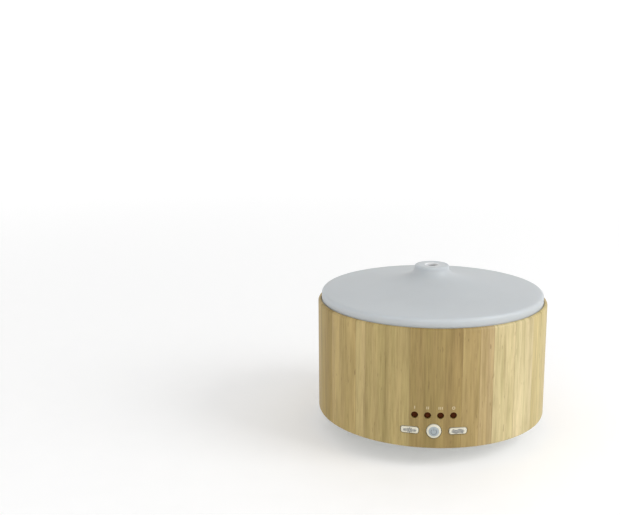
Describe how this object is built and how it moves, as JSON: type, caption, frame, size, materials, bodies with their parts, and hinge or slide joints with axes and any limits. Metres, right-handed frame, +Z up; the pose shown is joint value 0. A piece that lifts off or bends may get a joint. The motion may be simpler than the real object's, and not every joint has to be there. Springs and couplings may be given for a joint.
{
  "type": "essential oil diffuser",
  "caption": "Round ultrasonic essential oil diffuser: wooden sleeve, frosted lid with a flared mist spout, water tank, fan and push-button panel.",
  "frame": {"origin": "on the table under the centre of the round body", "axes": "+Z up, -Y is the front with the buttons and indicators, +Y the power inlet's side"},
  "size_m": [0.168, 0.1688, 0.1229],
  "materials": {
    "frosted_plastic": "frosted translucent polypropylene",
    "white_plastic": "fine satin moulding",
    "bamboo": "lacquered vertical-grain bamboo strips",
    "grey_rubber": "matte",
    "steel": "nickel plated",
    "piezo_ceramic": "silvered",
    "silicone": "matte",
    "circuit_board": "solder-masked glass laminate",
    "led_resin": "clear resin",
    "black_plastic": "fine texture",
    "copper_winding": "enamelled copper wire",
    "foam": "closed-cell foam",
    "brass": "plated",
    "chip_plastic": "moulded epoxy",
    "aluminium": "extruded",
    "capacitor_sleeve": "shrink sleeve",
    "header_plastic": "natural nylon",
    "smoked_plastic": "smoked acrylic",
    "button_plastic": "soft satin with a cream rim",
    "red_insulation": "PVC",
    "yellow_insulation": "PVC",
    "white_insulation": "PVC",
    "grey_insulation": "PVC"
  },
  "bodies": {
    "housing": {"wood_sleeve": "bamboo", "water_tank": "white_plastic", "air_tower_cap": "white_plastic", "base_shell": "white_plastic", "rubber_feet": "grey_rubber", "base_screws": "steel", "atomiser_disc": "piezo_ceramic", "atomiser_seal": "silicone", "atomiser_clamp": "white_plastic", "clamp_screws": "steel", "mood_light_board": "circuit_board", "mood_leds": "led_resin", "mood_board_screws": "steel", "fan_frame": "black_plastic", "fan_stator": "copper_winding", "fan_gasket": "foam", "fan_screws": "steel", "main_board": "circuit_board", "dc_jack": "black_plastic", "jack_pin": "brass", "power_transistor": "chip_plastic", "heat_sink": "aluminium", "inductors": "copper_winding", "capacitors": "capacitor_sleeve", "driver_chips": "chip_plastic", "board_headers": "header_plastic", "main_board_screws": "steel", "panel_carrier": "white_plastic", "panel_board": "circuit_board", "tact_switches": "steel", "indicator_leds": "led_resin", "light_guide": "smoked_plastic", "panel_screws": "steel", "atomiser_leads": "red_insulation", "fan_leads": "yellow_insulation", "mood_light_leads": "white_insulation", "panel_leads": "grey_insulation"},
    "inner_cover": {"inner_cover": "white_plastic"},
    "lid": {"lid": "frosted_plastic"},
    "light_button": {"light_button": "button_plastic", "light_plunger": "black_plastic"},
    "power_button": {"power_button": "button_plastic", "power_plunger": "black_plastic"},
    "mist_button": {"mist_button": "button_plastic", "mist_plunger": "black_plastic"},
    "fan_rotor": {"fan_rotor": "black_plastic"}
  },
  "joints": [
    {"name": "inner_cover_lift", "type": "slide", "parent": "housing", "child": "inner_cover", "axis": [0, 0, 1], "range_m": [0, 0.045]},
    {"name": "lid_lift", "type": "slide", "parent": "inner_cover", "child": "lid", "axis": [0, 0, 1], "range_m": [0, 0.06]},
    {"name": "light_press", "type": "slide", "parent": "housing", "child": "light_button", "axis": [0, 1, 0], "range_m": [0, 0.0005], "stiffness_N_per_m": 500},
    {"name": "power_press", "type": "slide", "parent": "housing", "child": "power_button", "axis": [0, 1, 0], "range_m": [0, 0.0005], "stiffness_N_per_m": 500},
    {"name": "mist_press", "type": "slide", "parent": "housing", "child": "mist_button", "axis": [0, 1, 0], "range_m": [0, 0.0005], "stiffness_N_per_m": 500},
    {"name": "fan_spin", "type": "hinge", "parent": "housing", "child": "fan_rotor", "pos_m": [-0.03317, 0.0241, 0.031], "axis": [0, 0, 1], "continuous": true}
  ]
}
